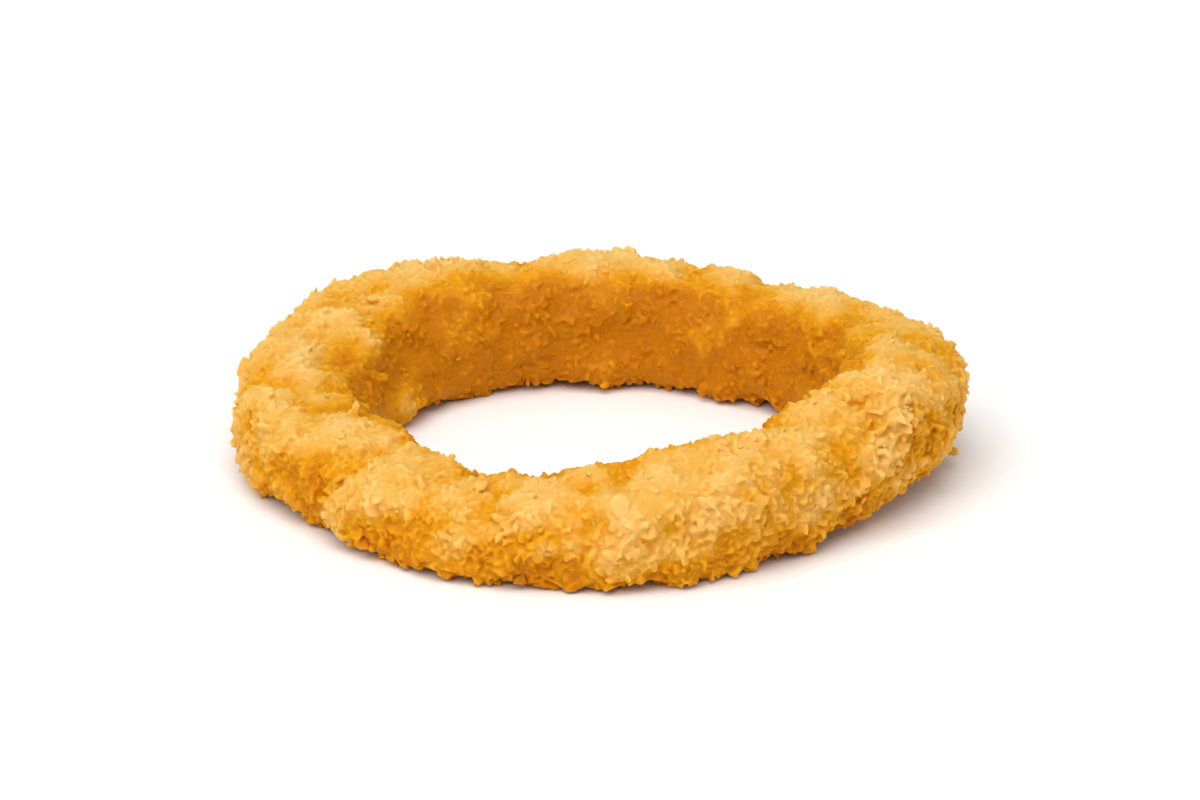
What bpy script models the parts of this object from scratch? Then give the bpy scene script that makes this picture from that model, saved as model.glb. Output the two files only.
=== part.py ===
"""One fried onion ring in a breadcrumb crust, lying flat on its base.

Run with: blender --background --python part.py
Metres, +Z up. The origin is under the middle of the ring, on the surface it lies on. +X runs along its
longest side, and -Y is its front. The ring is a single solid: the crust closes over the onion all round.
"""

import math

import bmesh
import bpy
from mathutils import Vector, noise

# Driving sizes of the ring, crust included
WIDTH = 0.0779  # outside, along X
DEPTH = 0.0735  # outside, along Y
WALL = 0.0134  # mean thickness of the wall, seen from above
HEIGHT = 0.0136  # mean height of the wall before its foot settles
SQUARENESS = 2.5  # exponent of the wall's section: 2 is an oval, and higher is boxier
FOOT_SETTLES = 0.0009  # how much of the underside the surface presses flat

# The crust's relief
LUMP_SIZE = 0.0042  # spacing of the broad swellings
LUMP_HEIGHT = 0.0008
GRAIN_SIZE = 0.0021  # spacing of the grains of crumb between them
GRAIN_HEIGHT = 0.00045
RELIEF_SEED = Vector((3.1, 7.4, 1.9))

# Facets
STEPS_ROUND_RING = 148
STEPS_ROUND_WALL = 28

# Where the ring departs from an even one. Angles run anticlockwise from +X, seen from above, in degrees:
# 90 is the back, 180 the left end and 270 the front. Each swelling fades out over its spread.
#            angle  spread  amount
OUTLINE = (
    (210, 24, -0.0020),  # the front left runs straighter
    (136, 19, 0.0028),  # a blunt corner at the back left
    (62, 24, -0.0008),  # a flatter stretch at the back right
    (322, 24, -0.0028),  # and the flattest at the front right
)
THICKNESS = (
    (184, 32, 0.0018),  # the left end is thick
    (134, 18, 0.0030),  # and the back left the thickest
    (304, 20, -0.0012),  # the front right is the thinnest
    (262, 18, 0.0007),
    (20, 18, 0.0007),
    (95, 25, -0.0008),
)
TALLNESS = (
    (92, 50, 0.0014),  # the back stands tallest
    (190, 30, -0.0012),  # the left end is lower
    (238, 30, -0.0030),  # and the front left the lowest
    (286, 16, 0.0005),
    (350, 16, 0.0006),
)
LEAN = (
    (90, 60, -3.0),  # how far the top leans outwards, in degrees: a little inwards at the back
    (270, 60, 9.0),
    (184, 32, -6.0),
    (0, 30, 6.0),
)
LIFT = (
    (350, 34, 0.0030),  # the right end curls up off the surface
    (214, 16, 0.0005),  # and the underside leaves it for two short stretches
    (128, 16, 0.0006),
)
# Folds and lips on the wall, each with its place and spread round the section too, where 0 is the wall's
# outer side, 90 its top and 180 its inner side. A negative height is a valley.
#            angle  spread  around  spread  height
FOLDS = (
    (285, 22, 88, 15, -0.0011),  # the top of the front sinks into a fold
    (288, 24, 128, 18, 0.0006),  # behind it the inner edge stands up as a lip
    (140, 18, 210, 34, 0.0024),  # the inner wall's foot swells out at the back left
    (160, 14, 60, 26, 0.0006),
    (52, 14, 20, 30, -0.0007),
    (118, 10, 30, 30, 0.0006),
    (76, 16, 170, 30, -0.0006),
    (338, 12, 95, 24, 0.0006),
)


def apart(angle, other):
    """The angle from one direction to another, the short way round."""
    return (angle - other + 180) % 360 - 180


def swelling(table, angle):
    """The sum at this angle of a table of (angle, spread, amount), each a smooth bump."""
    return sum(amount * math.exp(-((apart(angle, centre) / spread) ** 2)) for centre, spread, amount in table)


def centre_line(angle):
    """Distance from the origin to the middle of the wall, on an oval that the outline's swellings bend."""
    turn = math.radians(angle)
    half_width = (WIDTH - WALL) / 2
    half_depth = (DEPTH - WALL) / 2
    oval = half_width * half_depth / math.hypot(half_depth * math.cos(turn), half_width * math.sin(turn))
    return oval + swelling(OUTLINE, angle)


def power(value, exponent):
    """value to a power, with its sign kept."""
    return math.copysign(abs(value) ** exponent, value)


def wall_point(angle, around):
    """A point of the wall's smooth outside, at an angle round the ring and an angle round its section."""
    turn = math.radians(around)
    across = (WALL + swelling(THICKNESS, angle)) / 2 * power(math.cos(turn), 2 / SQUARENESS)
    up = (HEIGHT + swelling(TALLNESS, angle)) / 2 * power(math.sin(turn), 2 / SQUARENESS)
    lean = math.radians(swelling(LEAN, angle))
    out = centre_line(angle) + across * math.cos(lean) + up * math.sin(lean)
    height = up * math.cos(lean) - across * math.sin(lean)
    height += (HEIGHT + swelling(TALLNESS, angle)) / 2 + swelling(LIFT, angle) - FOOT_SETTLES
    direction = math.radians(angle)
    return Vector((out * math.cos(direction), out * math.sin(direction), height))


def fold(angle, around):
    """How far the folds and lips stand out at this place on the wall."""
    total = 0.0
    for centre, spread, centre_around, spread_around, height in FOLDS:
        along = apart(angle, centre) / spread
        across = apart(around, centre_around) / spread_around
        total += height * math.exp(-(along**2) - across**2)
    return total


def relief(point):
    """How far the crust stands out at a point: broad swellings, with grains of crumb on them."""
    lumps = noise.noise(point / LUMP_SIZE + RELIEF_SEED)
    grains = noise.voronoi(point / GRAIN_SIZE + RELIEF_SEED)[0]
    return LUMP_HEIGHT * lumps + GRAIN_HEIGHT * (grains[1] - grains[0] - 0.3)


def spun_circle():
    """A plain ring to shape: a circle of radius 1 spun round Z at a distance of 2."""
    ring = bmesh.new()
    bmesh.ops.create_circle(ring, segments=STEPS_ROUND_WALL, radius=1)
    for vertex in ring.verts:
        vertex.co = (vertex.co.x + 2, 0, vertex.co.y)
    bmesh.ops.spin(
        ring,
        geom=ring.verts[:] + ring.edges[:],
        cent=(0, 0, 0),
        axis=(0, 0, 1),
        angle=math.tau,
        steps=STEPS_ROUND_RING,
        use_merge=True,
    )
    bmesh.ops.recalc_face_normals(ring, faces=ring.faces)
    return ring


def shape_wall(ring):
    """Moves the plain ring's vertices to the wall's smooth outside, and returns each one's two angles."""
    places = []
    for vertex in ring.verts:
        x, y, z = vertex.co
        angle = math.degrees(math.atan2(y, x)) % 360
        around = math.degrees(math.atan2(z, math.hypot(x, y) - 2))
        vertex.co = wall_point(angle, around)
        places.append((angle, around))
    ring.normal_update()
    return places


def raise_crust(ring, places):
    """Raises the crust's folds and relief along the smooth wall's own normals."""
    moves = []
    for vertex, (angle, around) in zip(ring.verts, places):
        moves.append((vertex, vertex.normal * (fold(angle, around) + relief(vertex.co))))
    for vertex, move in moves:
        vertex.co += move


def settle(ring):
    """Presses the foot flat on the surface, and centres the ring over the origin."""
    for vertex in ring.verts:
        vertex.co.z = max(vertex.co.z, 0)
    for axis in (0, 1):
        places = [vertex.co[axis] for vertex in ring.verts]
        middle = (min(places) + max(places)) / 2
        for vertex in ring.verts:
            vertex.co[axis] -= middle


def crust_material():
    """Fried breadcrumb: golden, and slightly oily."""
    material = bpy.data.materials.new("fried_crust")
    material.use_nodes = True
    shader = material.node_tree.nodes["Principled BSDF"]
    shader.inputs["Base Color"].default_value = (0.82, 0.40, 0.06, 1)
    shader.inputs["Roughness"].default_value = 0.55
    shader.inputs["Metallic"].default_value = 0
    return material


def make_ring():
    """The one object: the ring in its crust."""
    ring = spun_circle()
    raise_crust(ring, shape_wall(ring))
    settle(ring)
    mesh = bpy.data.meshes.new("onion_ring")
    ring.to_mesh(mesh)
    ring.free()
    mesh.materials.append(crust_material())
    mesh.shade_smooth()
    piece = bpy.data.objects.new("onion_ring", mesh)
    bpy.context.scene.collection.objects.link(piece)


def clear_scene():
    for item in list(bpy.data.objects):
        bpy.data.objects.remove(item)


clear_scene()
make_ring()
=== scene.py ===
"""The looks of one fried onion ring: a crust of batter and breadcrumbs, loose crumbs on it, and a studio.

Metres, +Z up. The packed model gives the ring's shape, and every piece here is laid on that shape.
"""

import math

import bmesh
import bpy
import numpy as np
from bpy.props import FloatProperty, FloatVectorProperty, IntProperty, PointerProperty
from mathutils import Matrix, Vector, noise
from mathutils.bvhtree import BVHTree
from mathutils.kdtree import KDTree


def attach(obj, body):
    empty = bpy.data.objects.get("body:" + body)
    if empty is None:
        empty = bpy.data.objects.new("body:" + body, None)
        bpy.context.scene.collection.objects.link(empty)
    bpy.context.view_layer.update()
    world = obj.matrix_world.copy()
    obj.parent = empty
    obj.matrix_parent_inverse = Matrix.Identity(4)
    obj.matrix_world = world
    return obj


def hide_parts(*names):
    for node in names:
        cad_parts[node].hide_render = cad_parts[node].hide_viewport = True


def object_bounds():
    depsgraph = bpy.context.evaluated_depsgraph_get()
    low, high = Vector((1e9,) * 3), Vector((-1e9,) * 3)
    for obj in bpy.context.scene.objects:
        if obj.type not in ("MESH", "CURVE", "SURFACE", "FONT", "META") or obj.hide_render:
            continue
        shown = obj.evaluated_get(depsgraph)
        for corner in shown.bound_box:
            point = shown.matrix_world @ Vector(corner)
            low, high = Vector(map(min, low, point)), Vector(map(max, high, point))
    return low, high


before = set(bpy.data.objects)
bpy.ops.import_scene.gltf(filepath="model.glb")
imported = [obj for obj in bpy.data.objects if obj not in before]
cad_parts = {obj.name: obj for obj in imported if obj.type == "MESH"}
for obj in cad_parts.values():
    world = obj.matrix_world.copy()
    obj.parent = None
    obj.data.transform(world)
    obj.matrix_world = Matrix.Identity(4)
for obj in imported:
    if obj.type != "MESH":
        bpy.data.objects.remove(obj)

bl_info = {
    "name": "Fried onion ring",
    "version": (1, 0, 0),
    "blender": (4, 5, 0),
    "location": "3D View > Sidebar > Onion ring",
    "description": "Crust, crumbs and a studio for one fried onion ring",
    "category": "Object",
}

NODE = "onion_ring"
CAD_LOW, CAD_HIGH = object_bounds()
FLOOR_GAP = 0.00005  # between the lowest crumbs and the floor
BATTER_GAP = 0.0001  # between the batter and the floor
TOP_MARGIN = 0.0003  # how far crumbs may stand above the packed ring
FOOT = 0.0003  # the batter's least height before its lumps are added
SECTORS = 72  # sectors in which the middle of the ring's wall is looked for
TRIES = 4  # places tried for each that has room for a crumb

# Smoothing
SMOOTHING = 0.5  # how far a point moves towards its neighbours in each round
OUTSIDE_ROUNDS = 24  # these take the packed ring's own relief off
BATTER_ROUNDS = 2
FOLD_ROUNDS = 4
FOLDED = -0.1  # dot product of two faces' normals below which their edge is folded over

# Regions of the crust: where each begins and where it is complete
INNER_SIDE = (0.1, 0.7)  # towards the ring's hole, as a cosine
OUTER_SIDE = (0.2, 0.8)  # away from the hole, as a cosine
TOP_SIDE = (0.3, 0.9)  # Z of the normal
NEAR_FLOOR = (0.005, 0.001)  # height
INNER_FOOT = (0.009, 0.004)  # height, on the inner side, where the painted light on tops is left out
PAINTED_SHADOW_X = (-0.03, 0.02)  # X, of the side with more painted shadow near the floor

# Noise over the crust: size of its blobs and its own offset, and an amount where no setting gives one
ROUGH_PATCHES = (0.010, 3, 0.35)
ROUGH_SPOTS = (0.004, 5, 0.4)
SWELL_NOISE = (0.0055, 11)
KNOB_NOISE = (0.0024, 17)

# Tone is how pale the crust is coloured: 0 is amber and 1 the palest. Besides the crust's own tone, it
# holds painted light on tops and tips and painted shade in hollows, inside the ring and near the floor
SIDE_TONE = 0.46
TOP_PAINTED_LIGHT = 0.26  # painted light, more where the crust faces up
INNER_PAINTED_SHADE = 0.46  # painted shade, less inside the ring
LOW_PAINTED_SHADE = 0.06  # painted shade, less near the floor
LOW_PAINTED_SHADOW = 0.22  # painted shadow, less again near the floor on the +X side
LUMP_PAINTED_SHADING = 290  # painted light on lumps and painted shade between them: more for each metre that a lump of batter stands out
CRUMB_PAINTED_SHADING = 230  # painted light on crumbs and painted shade between them: more for each metre that a crumb stands out
CRUMB_STAND = 0.0004  # how far most crumbs stand out
BROWNED_BELOW = 0.25  # browned crumbs lie only where the tone, painted shade included, is below this
HOLLOW_SHADE_TONE = 0.35  # tone of the hollows' colour, the painted shade between crumbs
GOLDEN_TONE = 0.58  # tone of the main colour
TONE_SPECKS = (260, 1, 0.3)  # scale, detail and amount of the noise added to the tone
TONE_PATCHES = (90, 2, 0.55)

# Roughness is how far crumbs stand out of the batter: 1 is usual, and less is smoother
INNER_SMOOTHER = 0.4
TOP_SMOOTHER = 0.3
OUTER_ROUGHER = 0.08
LOW_ROUGHER = 0.15
ROUGHNESS_RANGE = (0.55, 1.3)
SINKING = 0.35  # share of a crumb that sinks for each unit of roughness lost
SHORTENING = 0.3  # share of its length that a crumb loses for each unit of roughness lost

# Crumbs differ from one another by these
SHAPES = 24  # angular shapes for each kind
CORNERS = 10  # corners tried for each shape
REACH = (0.36, 0.56)  # of a corner from the crumb's middle, in lengths
WIDTH = (0.7, 1.0)  # in lengths
LENGTH_SPREAD = 0.2
LONGEST = 0.4  # as a power of e
SUNK_SPREAD = 0.09
TONE_SPREAD = 0.045
STRETCH = (0.75, 1.25)

# Gloss and fine relief of the crust
IOR = 1.45
SPECULAR = 0.12
OIL_ROUGHNESS = 0.25
SCATTER_RATIOS = (1.0, 0.65, 0.4)  # how far red, green and blue go, over the crust's depth
BUMP_NOISE = (1900, 4, 0.65)  # scale, detail and roughness
BUMP_STRENGTH = 0.7
BUMP_HEIGHT = 0.00025

# Studio
KEY_SIZE = 1.65
KEY_PLACE = (-0.22, -0.80, 1.30)
FILL_SIZE = 0.5
FILL_PLACE = (-0.35, -0.6, 0.25)
FLOOR_REACH = 2.0  # from the middle of the floor to each side
FLOOR_ROUGHNESS = 0.7
NEAREST_SEEN = 0.01  # from the camera

# Kinds of crumb: name, seed, and the defaults of its settings
FUSED_KINDS = (
    # name            seed  length  spacing  flatness  sunk  tilt  pointed  browned
    ("grains_large", 21, 0.0016, 0.0026, 0.85, 0.50, 0.3, 0.1, 0.0),
    ("grains_medium", 22, 0.0012, 0.00100, 0.95, 0.42, 0.6, 0.1, 0.0),
    ("grains_small", 23, 0.00080, 0.00062, 0.95, 0.36, 0.9, 0.2, 0.0),
    ("grains_pointed", 24, 0.0013, 0.0028, 0.80, 0.20, 1.0, 0.5, 0.0),
    ("grains_clumped", 25, 0.0020, 0.0080, 0.95, 0.27, 0.6, 0.1, 0.0),
)
LOOSE_KINDS = (
    # name            seed  length  spacing  flatness  sunk  tilt  pointed  browned
    ("crumbs_pale", 11, 0.0009, 0.0050, 0.90, 0.35, 0.6, 0.1, 0.0),
    ("crumbs_browned", 12, 0.0009, 0.0040, 0.80, 0.30, 0.6, 0.3, 0.6),
)


# ---------------------------------------------------------------- settings


class BatterSettings(bpy.types.PropertyGroup):
    """The batter that the crumbs are fried into"""

    steps_round_ring: IntProperty(
        name="Steps round the ring",
        description="Facets of the batter along the ring",
        default=690,
        min=60,
    )
    steps_round_wall: IntProperty(
        name="Steps round the wall",
        description="Facets of the batter round its section",
        default=138,
        min=12,
    )
    inset: FloatProperty(
        name="Inset",
        description="How far the batter lies inside the ring's outside",
        default=0.0006,
        unit="LENGTH",
        precision=4,
    )
    swell: FloatProperty(
        name="Swell",
        description="Depth of the batter's broad lumps",
        default=0.0009,
        unit="LENGTH",
        precision=4,
    )
    knobs: FloatProperty(
        name="Knobs",
        description="Depth of the batter's small lumps",
        default=0.0006,
        unit="LENGTH",
        precision=4,
    )
    grain: FloatProperty(
        name="Grain",
        description="Smallest detail kept when crumbs and batter are fused",
        default=0.00015,
        unit="LENGTH",
        precision=5,
    )
    softness: IntProperty(
        name="Softness", description="Rounds of smoothing of the fused crust", default=2, min=0
    )
    facets: IntProperty(
        name="Facets", description="Triangles of the fused crust", default=195000, min=1000
    )


def crumb_settings(name, seed, length, spacing, flatness, sunk, tilt, pointed, browned):
    """A settings class for one kind of crumb."""

    def share(label, description, default):
        return FloatProperty(name=label, description=description, default=default, subtype="FACTOR")

    fields = {
        "seed": IntProperty(name="Seed", description="Which scatter is made", default=seed),
        "length": FloatProperty(
            name="Length",
            description="Mean length of a crumb",
            default=length,
            unit="LENGTH",
            precision=5,
        ),
        "spacing": FloatProperty(
            name="Spacing",
            description="Least distance between crumbs",
            default=spacing,
            unit="LENGTH",
            precision=5,
        ),
        "flatness": share("Flatness", "Thickness of a crumb over its width", flatness),
        "sunk": share("Sunk", "Share of a crumb that lies in the batter", sunk),
        "tilt": share("Tilt", "How far crumbs lean away from lying flat", tilt),
        "pointed": share("Pointed", "How far a crumb is drawn out to a point", pointed),
        "browned": share("Browned", "How brown the crumbs are fried", browned),
    }
    members = {"__doc__": "One kind of crumb", "__annotations__": fields}
    return type(name, (bpy.types.PropertyGroup,), members)


CRUMB_CLASSES = {
    kind[0]: crumb_settings(f"Settings_{kind[0]}", *kind[1:]) for kind in FUSED_KINDS + LOOSE_KINDS
}


def colour_setting(name, description, default):
    """A setting for a colour."""
    return FloatVectorProperty(name=name, description=description, default=default, subtype="COLOR")


class FinishSettings(bpy.types.PropertyGroup):
    """Colour and gloss of the crust"""

    # The amber and hollows colours are painted shade, and the pale tips' colour is painted light; golden
    # and browned are the crust's own colours
    amber: colour_setting("Amber", "Crust inside the ring and low on it", (0.54, 0.185, 0.0005))
    hollow: colour_setting("Hollows", "Batter deep between the crumbs", (0.69, 0.30, 0.004))
    golden: colour_setting("Golden", "The crust's main colour", (0.73, 0.385, 0.064))
    pale: colour_setting("Pale tips", "Crumbs that stand out", (0.79, 0.485, 0.145))
    brown: colour_setting("Browned", "Crumbs that fried longest", (0.46, 0.165, 0.007))
    roughness: FloatProperty(
        name="Roughness", description="Roughness of the crust", default=0.6, subtype="FACTOR"
    )
    oil: FloatProperty(
        name="Oil", description="Strength of the film of oil", default=0.02, subtype="FACTOR"
    )
    crust_depth: FloatProperty(
        name="Crust depth",
        description="How far light goes in the crust",
        default=0.0010,
        unit="LENGTH",
        precision=5,
    )
    crumb_depth: FloatProperty(
        name="Crumb depth",
        description="How far light goes in a loose crumb",
        default=0.0006,
        unit="LENGTH",
        precision=5,
    )


class StudioSettings(bpy.types.PropertyGroup):
    """Floor, lights and camera"""

    floor_colour: colour_setting("Floor", "Colour of the floor", (0.95, 0.95, 0.948))
    elevation: FloatProperty(
        name="Elevation",
        description="The camera's height above the horizon",
        default=math.radians(20),
        subtype="ANGLE",
    )
    lens: FloatProperty(
        name="Lens", description="Focal length in millimetres", default=200.0, unit="CAMERA"
    )
    share: FloatProperty(
        name="Share of the frame",
        description="Ring's width over the frame's",
        default=0.62,
        subtype="FACTOR",
    )
    key_power: FloatProperty(
        name="Key light", description="Power of the overhead light", default=24.6, unit="POWER"
    )
    fill_power: FloatProperty(
        name="Fill light", description="Power of the front light", default=0.39, unit="POWER"
    )
    sky: FloatProperty(
        name="Surround", description="Strength of the even light from all round", default=0.50
    )


class RingSettings(bpy.types.PropertyGroup):
    """Everything a user would change"""

    batter: PointerProperty(type=BatterSettings)
    finish: PointerProperty(type=FinishSettings)
    studio: PointerProperty(type=StudioSettings)


for _kind, _class in CRUMB_CLASSES.items():
    RingSettings.__annotations__[_kind] = PointerProperty(type=_class)


# ---------------------------------------------------------------- the ring's own surface


def rising(value, low, high):
    """0 at low, 1 at high, and even between."""
    return np.clip((value - low) / (high - low), 0, 1)


class RingSurface:
    """The packed ring read as a grid: angle round the ring by angle round the wall's section."""

    def __init__(self, batter):
        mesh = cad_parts[NODE].data
        mesh.calc_loop_triangles()
        corners = [vertex.co for vertex in mesh.vertices]
        tree = BVHTree.FromPolygons(corners, [tuple(face.vertices) for face in mesh.loop_triangles])
        self.turns = np.linspace(0, math.tau, batter.steps_round_ring, endpoint=False)
        self.rounds = np.linspace(0, math.tau, batter.steps_round_wall, endpoint=False)
        middles = self.wall_middles(np.array(corners, float))
        points = np.zeros((len(self.turns), len(self.rounds), 3))
        for i, (turn, (radius, height)) in enumerate(zip(self.turns, middles)):
            outward = Vector((math.cos(turn), math.sin(turn), 0))
            middle = outward * radius + Vector((0, 0, height))
            for j, angle in enumerate(self.rounds):
                ray = outward * math.cos(angle) + Vector((0, 0, math.sin(angle)))
                points[i, j] = tree.ray_cast(middle, ray)[0]
        outside = smoothed(points, OUTSIDE_ROUNDS)
        self.points = outside - normals_of(outside) * batter.inset
        self.points[..., 2] = np.maximum(self.points[..., 2], FOOT)
        self.points = smoothed(self.points, BATTER_ROUNDS)
        self.normals = normals_of(self.points)
        self.lay(batter)

    def wall_middles(self, corners):
        """Radius and height of the middle of the wall, at each angle round the ring."""
        turns = np.arctan2(corners[:, 1], corners[:, 0]) % math.tau
        radii = np.hypot(corners[:, 0], corners[:, 1])
        centres = (np.arange(SECTORS) + 0.5) / SECTORS * math.tau
        places = []
        for centre in centres:
            near = np.abs((turns - centre + math.pi) % math.tau - math.pi) < math.tau / SECTORS
            radius = (radii[near].min() + radii[near].max()) / 2
            height = (corners[near, 2].min() + corners[near, 2].max()) / 2
            places.append((radius, height))
        radii, heights = zip(*places)
        radii = np.interp(self.turns, centres, radii, period=math.tau)
        heights = np.interp(self.turns, centres, heights, period=math.tau)
        return np.stack([radii, heights], 1)

    def lay(self, batter):
        """Settles the batter's lumps, how rough the crust is, and how pale it fries."""
        outwards = np.cos(self.rounds)[None, :]
        inner = rising(-outwards, *INNER_SIDE)
        outer = rising(outwards, *OUTER_SIDE)
        top = rising(self.normals[..., 2], *TOP_SIDE)
        low = rising(self.points[..., 2], *NEAR_FLOOR)
        # Painted shadow: the +X side is darker near the floor
        painted_shadow = rising(self.points[..., 0], *PAINTED_SHADOW_X)
        foot = inner * rising(self.points[..., 2], *INNER_FOOT)
        rough = 1 - INNER_SMOOTHER * inner - TOP_SMOOTHER * top
        rough = rough + OUTER_ROUGHER * outer + LOW_ROUGHER * low
        rough += self.noise_grid(*ROUGH_PATCHES) + self.noise_grid(*ROUGH_SPOTS)
        self.rough = np.clip(rough, *ROUGHNESS_RANGE)
        # Lumps of batter; further down, their heights also paint light on the lumps and shade between them
        heights = self.noise_grid(*SWELL_NOISE, batter.swell)
        heights += self.noise_grid(*KNOB_NOISE, batter.knobs)
        # Painted light: paler where the crust faces up, but not at the inner foot, which stays in shade
        facing_up = np.minimum(self.normals[..., 2], 1 - foot)
        # Painted shade: darker inside the ring
        self.tone = SIDE_TONE + TOP_PAINTED_LIGHT * facing_up - INNER_PAINTED_SHADE * inner
        # Painted shade near the floor, deeper on the +X side where a painted shadow falls
        self.tone += LUMP_PAINTED_SHADING * heights - (LOW_PAINTED_SHADE + LOW_PAINTED_SHADOW * painted_shadow) * low
        self.laid = self.points + self.normals * heights[..., None]
        self.laid[..., 2] = np.maximum(self.laid[..., 2], BATTER_GAP)

    def at(self, rows, columns, grid):
        """A grid's values between its points."""
        low_rows, low_columns = rows.astype(int), columns.astype(int)
        u, v = rows - low_rows, columns - low_columns
        if grid.ndim == 3:
            u, v = u[:, None], v[:, None]
        next_rows = (low_rows + 1) % grid.shape[0]
        next_columns = (low_columns + 1) % grid.shape[1]
        return (
            grid[low_rows, low_columns] * (1 - u) * (1 - v)
            + grid[next_rows, low_columns] * u * (1 - v)
            + grid[low_rows, next_columns] * (1 - u) * v
            + grid[next_rows, next_columns] * u * v
        )

    def scattered(self, spacing, random):
        """Places at least a spacing apart, as rows and columns of the grid."""
        along = np.roll(self.points, -1, 0) - self.points
        around = np.roll(self.points, -1, 1) - self.points
        area = np.linalg.norm(np.cross(along, around), axis=2)
        tries = int(area.sum() / spacing**2 * TRIES)
        chosen = random.choice(area.size, tries, p=(area / area.sum()).ravel())
        rows, columns = np.array(np.divmod(chosen, area.shape[1])) + random.uniform(0, 1, (2, tries))
        points = self.at(rows, columns, self.points)
        tree = tree_of(points)
        free = np.ones(tries, bool)
        kept = []
        for index, point in enumerate(points):
            if free[index]:
                kept.append(index)
                free[[other for _, other, _ in tree.find_range(point, spacing)]] = False
        return rows[kept], columns[kept]

    def noise_grid(self, size, offset, amount):
        """Smooth noise over the surface, in blobs of this size, up to about half the amount each way."""
        move = Vector((offset, offset, offset))
        values = [[noise.noise(Vector(point) / size + move) for point in row] for row in self.points]
        return np.array(values) * amount


def tree_of(points):
    """A search tree over points."""
    tree = KDTree(len(points))
    for index, point in enumerate(points):
        tree.insert(point, index)
    tree.balance()
    return tree


def normals_of(points):
    """Outward normals of a closed grid of points."""
    along = np.roll(points, -1, 0) - np.roll(points, 1, 0)
    around = np.roll(points, -1, 1) - np.roll(points, 1, 1)
    normals = np.cross(along, around)
    return normals / np.linalg.norm(normals, axis=2, keepdims=True)


def smoothed(grid, times):
    """A closed grid, each value moved towards the mean of its neighbours."""
    for _ in range(times):
        neighbours = sum(np.roll(grid, step, axis) for axis in (0, 1) for step in (1, -1))
        grid = grid * (1 - SMOOTHING) + neighbours * (SMOOTHING / 4)
    return grid


LAID = {}  # the surface that the crust is made on, kept for the loose crumbs


# ---------------------------------------------------------------- the crust's finish


def crust_material(name, finish, depth):
    """Fried crust: amber in its hollows and pale on its tips, with the odd browned crumb."""
    material = bpy.data.materials.new(name)
    material.use_nodes = True
    nodes = material.node_tree.nodes
    links = material.node_tree.links
    shader = nodes["Principled BSDF"]

    def colour(value):
        return (*value, 1)

    place = nodes.new("ShaderNodeTexCoord").outputs["Object"]

    def noise_of(scale, detail, roughness=0.5):
        node = nodes.new("ShaderNodeTexNoise")
        node.inputs["Scale"].default_value = scale
        node.inputs["Detail"].default_value = detail
        node.inputs["Roughness"].default_value = roughness
        links.new(place, node.inputs["Vector"])
        return node.outputs["Fac"]

    def combined(operation, a, b, clamp=False):
        node = nodes.new("ShaderNodeMath")
        node.operation = operation
        node.use_clamp = clamp
        for socket, value in zip(node.inputs, (a, b)):
            if isinstance(value, (int, float)):
                socket.default_value = value
            else:
                links.new(value, socket)
        return node.outputs[0]

    def mixed(share, a, b):
        node = nodes.new("ShaderNodeMix")
        node.data_type = "RGBA"
        for label, value in (("Factor", share), ("A", a), ("B", b)):
            if isinstance(value, bpy.types.NodeSocket):
                links.new(value, node.inputs[label])
            else:
                node.inputs[label].default_value = value
        return node.outputs["Result"]

    def attribute(label):
        node = nodes.new("ShaderNodeAttribute")
        node.attribute_name = label
        return node.outputs["Fac"]

    def variation(scale, detail, amount):
        """Noise with a mean of 0."""
        return combined("MULTIPLY", combined("SUBTRACT", noise_of(scale, detail), 0.5), amount)

    tone = combined("ADD", attribute("tone"), variation(*TONE_SPECKS))
    tone = combined("ADD", tone, variation(*TONE_PATCHES), clamp=True)

    # The ramp runs from painted shade, amber and hollows, through the golden colour to the pale painted
    # light of the tips
    ramp = nodes.new("ShaderNodeValToRGB")
    stops = ramp.color_ramp.elements
    stops[0].color = colour(finish.amber)
    stops[1].color = colour(finish.pale)
    stops.new(HOLLOW_SHADE_TONE).color = colour(finish.hollow)
    stops.new(GOLDEN_TONE).color = colour(finish.golden)
    links.new(tone, ramp.inputs["Fac"])
    browned = mixed(attribute("brown"), ramp.outputs["Color"], colour(finish.brown))
    links.new(browned, shader.inputs["Base Color"])

    shader.inputs["Roughness"].default_value = finish.roughness
    shader.inputs["IOR"].default_value = IOR
    shader.inputs["Specular IOR Level"].default_value = SPECULAR
    shader.inputs["Coat Weight"].default_value = finish.oil
    shader.inputs["Coat Roughness"].default_value = OIL_ROUGHNESS
    shader.inputs["Subsurface Weight"].default_value = 1.0
    shader.inputs["Subsurface Radius"].default_value = SCATTER_RATIOS
    shader.inputs["Subsurface Scale"].default_value = depth

    bump = nodes.new("ShaderNodeBump")
    bump.inputs["Strength"].default_value = BUMP_STRENGTH
    bump.inputs["Distance"].default_value = BUMP_HEIGHT
    links.new(noise_of(*BUMP_NOISE), bump.inputs["Height"])
    links.new(bump.outputs["Normal"], shader.inputs["Normal"])
    return material


def finish_piece(piece, tones_and_shading, browned, material):
    """Gives a piece its attributes and material, and ties it to the ring."""
    for label, values in (("tone", tones_and_shading), ("brown", browned)):
        layer = piece.data.attributes.new(label, "FLOAT", "POINT")
        layer.data.foreach_set("value", np.ascontiguousarray(values, np.float32))
    piece.data.materials.append(material)
    bpy.context.scene.collection.objects.link(piece)
    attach(piece, "root")


# ---------------------------------------------------------------- crust


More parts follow.
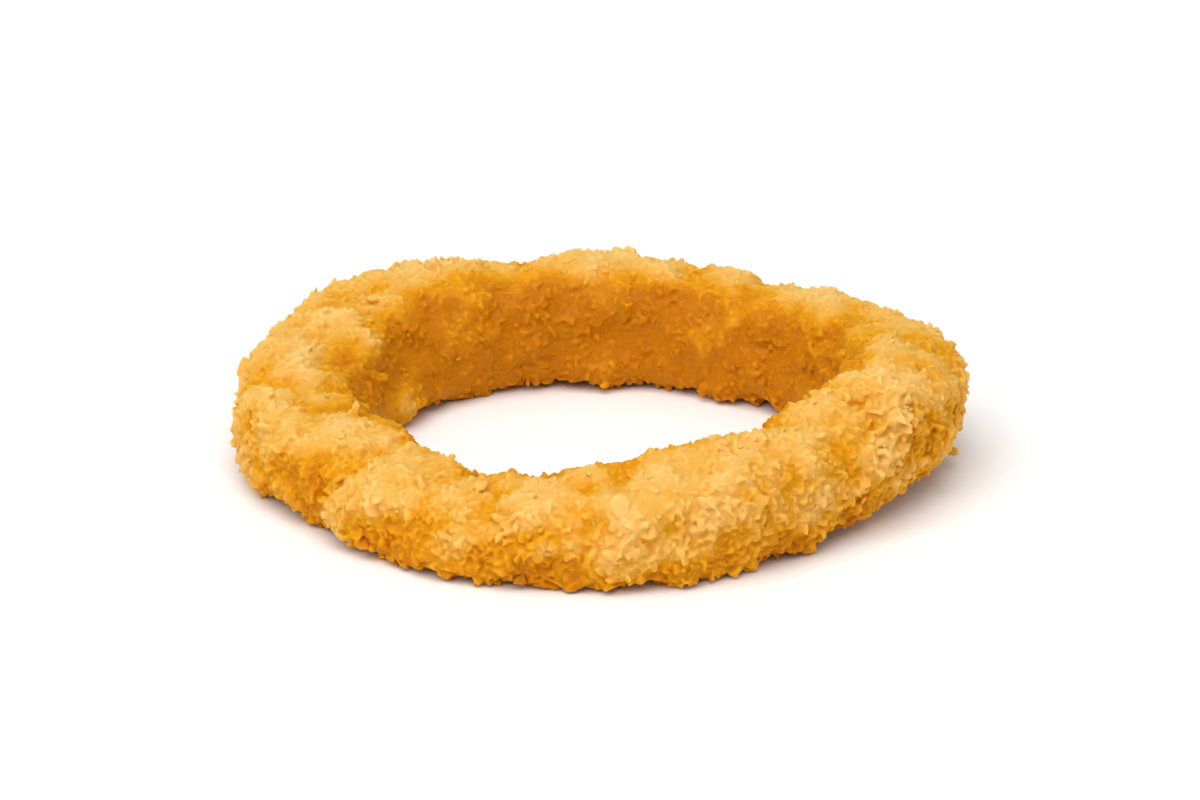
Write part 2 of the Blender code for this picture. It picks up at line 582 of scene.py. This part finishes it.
def batter_ring(surface, batter):
    """The batter alone, as a bmesh: a plain ring, spun coarsely, split finely and moved to the surface."""
    splits = 6
    wall_radius = 1
    ring_radius = 2
    ring = bmesh.new()
    bmesh.ops.create_circle(ring, segments=batter.steps_round_wall // splits, radius=wall_radius)
    for vertex in ring.verts:
        vertex.co = (vertex.co.y + ring_radius, 0, vertex.co.x)
    bmesh.ops.spin(
        ring,
        geom=ring.verts[:] + ring.edges[:],
        cent=(0, 0, 0),
        axis=(0, 0, 1),
        angle=math.tau,
        steps=batter.steps_round_ring // splits,
        use_merge=True,
    )
    bmesh.ops.subdivide_edges(ring, edges=ring.edges[:], cuts=splits - 1, use_grid_fill=True)
    for vertex in ring.verts:
        x, y, z = vertex.co
        row = round(math.atan2(y, x) / math.tau * batter.steps_round_ring) % batter.steps_round_ring
        around = math.atan2(z, math.hypot(x, y) - ring_radius) / math.tau
        column = round(around * batter.steps_round_wall) % batter.steps_round_wall
        vertex.co = surface.laid[row, column]
    bmesh.ops.recalc_face_normals(ring, faces=ring.faces)
    return ring


def modified(mesh, kind, **values):
    """A mesh after one modifier, in place of the mesh given."""
    holder = bpy.data.objects.new("holder", mesh)
    bpy.context.scene.collection.objects.link(holder)
    modifier = holder.modifiers.new(kind.lower(), kind)
    for label, value in values.items():
        setattr(modifier, label, value)
    finished = holder.evaluated_get(bpy.context.evaluated_depsgraph_get())
    result = bpy.data.meshes.new_from_object(finished)
    bpy.data.objects.remove(holder)
    bpy.data.meshes.remove(mesh)
    return result


def linked_parts(shape):
    """The vertices of each separate part of a bmesh."""
    seen = set()
    parts = []
    for first in shape.verts:
        if first in seen:
            continue
        seen.add(first)
        part = [first]
        for vertex in part:
            for edge in vertex.link_edges:
                other = edge.other_vert(vertex)
                if other not in seen:
                    seen.add(other)
                    part.append(other)
        parts.append(part)
    return parts


def cleaned(mesh):
    """The crust without the small voids closed up inside it, and with folds opened out."""
    shape = bmesh.new()
    shape.from_mesh(mesh)
    *voids, _ = sorted(linked_parts(shape), key=len)
    bmesh.ops.delete(shape, geom=[vertex for void in voids for vertex in void], context="VERTS")
    for _ in range(FOLD_ROUNDS):
        shape.normal_update()
        folded = set()
        for edge in shape.edges:
            first, second = edge.link_faces[:2]
            if first.normal.dot(second.normal) < FOLDED:
                folded.update(edge.verts)
        bmesh.ops.smooth_vert(
            shape,
            verts=list(folded),
            factor=SMOOTHING,
            use_axis_x=True,
            use_axis_y=True,
            use_axis_z=True,
        )
    shape.to_mesh(mesh)
    shape.free()


class RING_OT_crust(bpy.types.Operator):
    """Fuses batter and crumbs in one crust, which stands for the packed ring"""

    bl_idname = "ring.crust"
    bl_label = "Crust"

    def execute(self, context):
        settings = context.scene.onion_ring
        batter = settings.batter
        surface = RingSurface(batter)
        LAID["surface"] = surface
        ring = batter_ring(surface, batter)
        centres, shifts = [], []
        for kind, *_ in FUSED_KINDS:
            crumb = getattr(settings, kind)
            crumbs, _, kind_centres, kind_shifts = scattered_crumbs(kind, surface, crumb)
            ring.from_mesh(crumbs)
            bpy.data.meshes.remove(crumbs)
            centres.append(kind_centres)
            shifts.append(kind_shifts)
        mesh = bpy.data.meshes.new("crust")
        ring.to_mesh(mesh)
        ring.free()
        mesh = modified(mesh, "REMESH", mode="VOXEL", voxel_size=batter.grain)
        mesh = modified(mesh, "SMOOTH", factor=SMOOTHING, iterations=batter.softness)
        triangles = 2 * len(mesh.polygons)  # they are all quads before this step
        mesh = modified(mesh, "DECIMATE", ratio=batter.facets / triangles)
        cleaned(mesh)
        mesh.name = "crust"
        mesh.shade_smooth()

        corners = np.array([tuple(vertex.co) for vertex in mesh.vertices])
        tree = tree_of(surface.points.reshape(-1, 3))
        nearest = np.array([tree.find(corner)[1] for corner in corners])
        below = surface.points.reshape(-1, 3)[nearest]
        heights = ((corners - below) * surface.normals.reshape(-1, 3)[nearest]).sum(1)
        crumb_tree = tree_of(np.concatenate(centres))
        shift = np.concatenate(shifts)[[crumb_tree.find(corner)[1] for corner in corners]]
        # Painted light on the crumbs' tips and painted shade between them, by height above the batter
        tones_and_shading = surface.tone.ravel()[nearest] + shift + (heights - CRUMB_STAND) * CRUMB_PAINTED_SHADING
        piece = bpy.data.objects.new("crust", mesh)
        material = crust_material("fried_crust", settings.finish, settings.finish.crust_depth)
        finish_piece(piece, tones_and_shading, np.zeros(len(tones_and_shading)), material)
        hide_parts(NODE)
        return {"FINISHED"}


# ---------------------------------------------------------------- crumbs


def crumb_shapes(count, settings, random):
    """Several angular crumbs of length 1, as lists of corners and faces."""
    shapes = []
    for _ in range(count):
        crumb = bmesh.new()
        for direction in random.normal(0, 1, (CORNERS, 3)):
            direction /= np.linalg.norm(direction)
            crumb.verts.new(direction * random.uniform(*REACH))
        bmesh.ops.convex_hull(crumb, input=crumb.verts[:])
        loose = [vertex for vertex in crumb.verts if not vertex.link_faces]
        bmesh.ops.delete(crumb, geom=loose, context="VERTS")
        tip = max(crumb.verts, key=lambda vertex: vertex.co.x)
        tip.co.x *= 1 + settings.pointed
        width = random.uniform(*WIDTH)
        bmesh.ops.scale(crumb, verts=crumb.verts, vec=(1, width, settings.flatness))
        bmesh.ops.recalc_face_normals(crumb, faces=crumb.faces)
        crumb.verts.index_update()
        corners = np.array([tuple(vertex.co) for vertex in crumb.verts])
        faces = np.array([[vertex.index for vertex in face.verts] for face in crumb.faces])
        shapes.append((corners, faces))
        crumb.free()
    return shapes


def turned_to(normals, tilt, random):
    """A frame for each normal: rows are a crumb's own X, Y and Z, with Z near the normal."""
    count = len(normals)
    up = normals + random.normal(0, tilt, (count, 3))
    up /= np.linalg.norm(up, axis=1, keepdims=True)
    side = np.cross(up, random.normal(0, 1, (count, 3)))
    side /= np.linalg.norm(side, axis=1, keepdims=True)
    return np.stack([side, np.cross(up, side), up], 1)


def scattered_crumbs(name, surface, settings):
    """One kind of crumb laid on the batter.

    Gives the joined mesh, the tone of each of its corners, and each crumb's place and own shift in tone.
    """
    random = np.random.default_rng(settings.seed)
    rows, columns = surface.scattered(settings.spacing, random)
    if settings.browned > 0:
        darkest = surface.at(rows, columns, surface.tone) < BROWNED_BELOW
        rows, columns = rows[darkest], columns[darkest]
    count = len(rows)
    rough = surface.at(rows, columns, surface.rough)
    powers = np.clip(random.normal(0, LENGTH_SPREAD, count), -LONGEST, LONGEST)
    lengths = settings.length * np.exp(powers) * (1 - SHORTENING + SHORTENING * rough)
    shapes = crumb_shapes(SHAPES, settings, random)
    normals = surface.at(rows, columns, surface.normals)
    places = surface.at(rows, columns, surface.laid)
    shifts = random.normal(0, TONE_SPREAD, count)
    tones_and_shading = surface.at(rows, columns, surface.tone) + shifts
    frames = turned_to(normals, settings.tilt, random)
    sunk = settings.sunk + SINKING * (1 - rough) + random.normal(0, SUNK_SPREAD, count)
    stretches = random.uniform(*STRETCH, (count, 3))
    kinds = random.integers(0, len(shapes), count)

    corners, faces, corner_tones_and_shading = [], [], []
    start = 0
    for index in range(count):
        shape, shape_faces = shapes[kinds[index]]
        outwards = (shape * stretches[index]) @ frames[index] * lengths[index]
        risen = 0.5 - sunk[index]  # half sunk, a crumb's middle is on the batter
        outwards += normals[index] * lengths[index] * risen * settings.flatness
        corners.append(places[index] + outwards)
        # Painted light towards a crumb's tip, painted shade towards its foot
        corner_tones_and_shading.append(tones_and_shading[index] + outwards @ normals[index] * CRUMB_PAINTED_SHADING)
        faces.append(shape_faces + start)
        start += len(shape)
    corners = np.concatenate(corners)
    corners[:, 2] = np.clip(corners[:, 2], FLOOR_GAP, CAD_HIGH.z + TOP_MARGIN)
    mesh = bpy.data.meshes.new(name)
    mesh.from_pydata(corners, [], np.concatenate(faces))
    return mesh, np.concatenate(corner_tones_and_shading), places, shifts


class RING_OT_crumbs(bpy.types.Operator):
    """Lays the loose crumbs on the crust, each kind joined in one piece"""

    bl_idname = "ring.crumbs"
    bl_label = "Loose crumbs"

    def execute(self, context):
        settings = context.scene.onion_ring
        if "surface" not in LAID:
            raise RuntimeError("Make the crust first")
        material = crust_material("fried_crumb", settings.finish, settings.finish.crumb_depth)
        for kind, *_ in LOOSE_KINDS:
            crumb = getattr(settings, kind)
            mesh, tones_and_shading, *_ = scattered_crumbs(kind, LAID["surface"], crumb)
            piece = bpy.data.objects.new(kind, mesh)
            finish_piece(piece, tones_and_shading, np.full(len(tones_and_shading), crumb.browned), material)
        return {"FINISHED"}


# ---------------------------------------------------------------- stage


def soft_light(name, size, power, place, target):
    """A round light that faces its target."""
    lamp = bpy.data.lights.new(name, "AREA")
    lamp.shape = "DISK"
    lamp.size = size
    lamp.energy = power
    light = bpy.data.objects.new(name, lamp)
    light.location = place
    light.rotation_euler = (Vector(target) - Vector(place)).to_track_quat("-Z", "Y").to_euler()
    bpy.context.scene.collection.objects.link(light)


class RING_OT_studio(bpy.types.Operator):
    """Makes the floor, the lights and the camera"""

    bl_idname = "ring.studio"
    bl_label = "Studio"

    def execute(self, context):
        studio = context.scene.onion_ring.studio
        scene = context.scene
        middle = (CAD_LOW + CAD_HIGH) / 2
        width = CAD_HIGH.x - CAD_LOW.x

        flat = bmesh.new()
        bmesh.ops.create_grid(flat, x_segments=1, y_segments=1, size=FLOOR_REACH)
        mesh = bpy.data.meshes.new("floor")
        flat.to_mesh(mesh)
        flat.free()
        floor = bpy.data.objects.new("floor", mesh)
        material = bpy.data.materials.new("floor")
        material.use_nodes = True
        shader = material.node_tree.nodes["Principled BSDF"]
        shader.inputs["Base Color"].default_value = (*studio.floor_colour, 1)
        shader.inputs["Roughness"].default_value = FLOOR_ROUGHNESS
        mesh.materials.append(material)
        scene.collection.objects.link(floor)

        soft_light("key", KEY_SIZE, studio.key_power, KEY_PLACE, middle)
        soft_light("fill", FILL_SIZE, studio.fill_power, FILL_PLACE, middle)
        world = bpy.data.worlds.new("surround")
        world.use_nodes = True
        background = world.node_tree.nodes["Background"]
        background.inputs["Color"].default_value = (1, 1, 1, 1)
        background.inputs["Strength"].default_value = studio.sky
        scene.world = world

        lens = bpy.data.cameras.new("camera")
        lens.lens = studio.lens
        camera = bpy.data.objects.new("camera", lens)
        distance = width / studio.share * studio.lens / lens.sensor_width
        back = Vector((0, -math.cos(studio.elevation), math.sin(studio.elevation)))
        camera.location = middle + back * distance
        camera.rotation_euler = (-back).to_track_quat("-Z", "Y").to_euler()
        lens.clip_start = NEAREST_SEEN
        scene.collection.objects.link(camera)
        scene.camera = camera
        scene.view_settings.view_transform = "Standard"
        return {"FINISHED"}


class RING_PT_panel(bpy.types.Panel):
    """Buttons and settings for the onion ring"""

    bl_label = "Onion ring"
    bl_idname = "RING_PT_panel"
    bl_space_type = "VIEW_3D"
    bl_region_type = "UI"
    bl_category = "Onion ring"

    def draw(self, context):
        for operator in OPERATORS:
            self.layout.operator(operator.bl_idname)
        settings = context.scene.onion_ring
        for name in RingSettings.__annotations__:
            group = getattr(settings, name)
            box = self.layout.box()
            box.label(text=name.replace("_", " ").capitalize())
            for field in group.__annotations__:
                box.prop(group, field)


OPERATORS = (RING_OT_crust, RING_OT_crumbs, RING_OT_studio)
CLASSES = (
    BatterSettings,
    FinishSettings,
    StudioSettings,
    *CRUMB_CLASSES.values(),
    RingSettings,
    *OPERATORS,
    RING_PT_panel,
)


def register():
    for item in CLASSES:
        bpy.utils.register_class(item)
    bpy.types.Scene.onion_ring = PointerProperty(type=RingSettings)


def unregister():
    del bpy.types.Scene.onion_ring
    for item in reversed(CLASSES):
        bpy.utils.unregister_class(item)


def main():
    register()
    bpy.ops.ring.crust()
    bpy.ops.ring.crumbs()
    bpy.ops.ring.studio()


if __name__ == "__main__":
    main()
